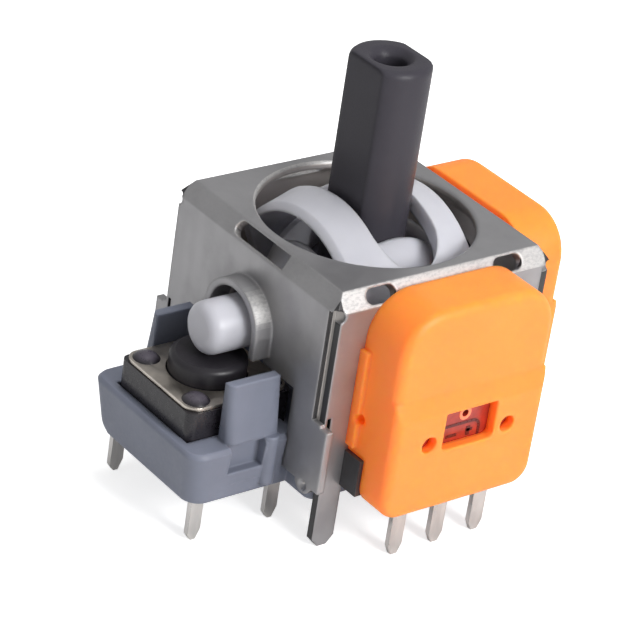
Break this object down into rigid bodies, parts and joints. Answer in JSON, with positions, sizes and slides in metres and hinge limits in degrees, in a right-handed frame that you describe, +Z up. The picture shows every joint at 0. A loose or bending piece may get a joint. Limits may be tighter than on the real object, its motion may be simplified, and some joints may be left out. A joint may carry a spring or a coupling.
{
  "type": "controller analog stick",
  "caption": "Two-axis thumbstick module: steel frame, crossed white yokes on a double-D stem, two magnetic angle sensors in orange covers and a push switch, for soldering to a circuit board.",
  "frame": {"origin": "on the stem's axis, at the base's underside, which sits on the circuit board", "axes": "+Z up along the stem at rest; sensor A faces -Y, sensor B faces +X, the push switch is at -X"},
  "size_m": [0.0215, 0.0167, 0.022],
  "materials": {
    "steel_frame": "bright cold-rolled sheet, satin",
    "base_grey": "fine matte",
    "stick_grey": "satin",
    "pin_steel": "ground",
    "yoke_white": "translucent, satin",
    "disc_black": "satin",
    "spring_steel": "drawn wire",
    "switch_black": "satin",
    "switch_cover_steel": "stamped, satin",
    "plunger_black": "satin",
    "tinned_pins": "tinned",
    "magnet_nickel": "nickel plated",
    "cover_orange": "satin moulded",
    "holder_dark": "matte",
    "board_red": "gloss solder mask"
  },
  "bodies": {
    "housing": {"frame": "steel_frame", "base": "base_grey", "switch_body": "switch_black", "switch_cover": "switch_cover_steel", "switch_dome": "spring_steel", "switch_pins": "tinned_pins", "spring": "spring_steel", "sensor_a_cover": "cover_orange", "sensor_a_holder": "holder_dark", "sensor_a_board": "board_red", "sensor_a_chip": "switch_black", "sensor_a_terminals": "tinned_pins", "sensor_b_cover": "cover_orange", "sensor_b_holder": "holder_dark", "sensor_b_board": "board_red", "sensor_b_chip": "switch_black", "sensor_b_terminals": "tinned_pins"},
    "upper_yoke": {"upper_yoke": "yoke_white", "rotor_a": "disc_black", "magnet_a": "magnet_nickel"},
    "rotor_b": {"rotor_b": "disc_black", "magnet_b": "magnet_nickel"},
    "lower_yoke": {"lower_yoke": "yoke_white", "hinge_pin": "pin_steel"},
    "stick": {"stick": "stick_grey"},
    "plunger": {"switch_plunger": "plunger_black"},
    "disc": {"centering_disc": "disc_black"}
  },
  "joints": [
    {"name": "tilt_y", "type": "hinge", "parent": "housing", "child": "rotor_b", "pos_m": [0, 0, 0.00685], "axis": [1, 0, 0], "range_deg": [-18, 18], "stiffness_Nm_per_rad": 0.02},
    {"name": "yoke_tip", "type": "hinge", "parent": "rotor_b", "child": "lower_yoke", "pos_m": [0.006, 0, 0.00685], "axis": [0, -1, 0], "range_deg": [0, 1.2], "stiffness_Nm_per_rad": 0.1, "springref_deg": -0.57},
    {"name": "tilt_x", "type": "hinge", "parent": "lower_yoke", "child": "stick", "pos_m": [0, 0, 0.00685], "axis": [0, 1, 0], "range_deg": [-18, 18], "stiffness_Nm_per_rad": 0.02},
    {"name": "upper_yoke_turn", "type": "hinge", "parent": "housing", "child": "upper_yoke", "pos_m": [0, 0, 0.00685], "axis": [0, 1, 0], "range_deg": [-18, 18]},
    {"name": "press", "type": "slide", "parent": "housing", "child": "plunger", "axis": [0, 0, -1], "range_m": [0, 0.0003], "stiffness_N_per_m": 5300, "springref_m": -0.0001},
    {"name": "disc_travel", "type": "slide", "parent": "housing", "child": "disc", "axis": [0, 0, -1], "range_m": [0, 0.000126], "deforming": ["spring"]}
  ],
  "couplings": [
    {"joint": "upper_yoke_turn", "follows": "tilt_x", "ratio": 1},
    {"joint": "yoke_tip", "follows": "press", "rad_per_m": 69.444},
    {"joint": "disc_travel", "follows": "press", "ratio": 0.41667}
  ]
}
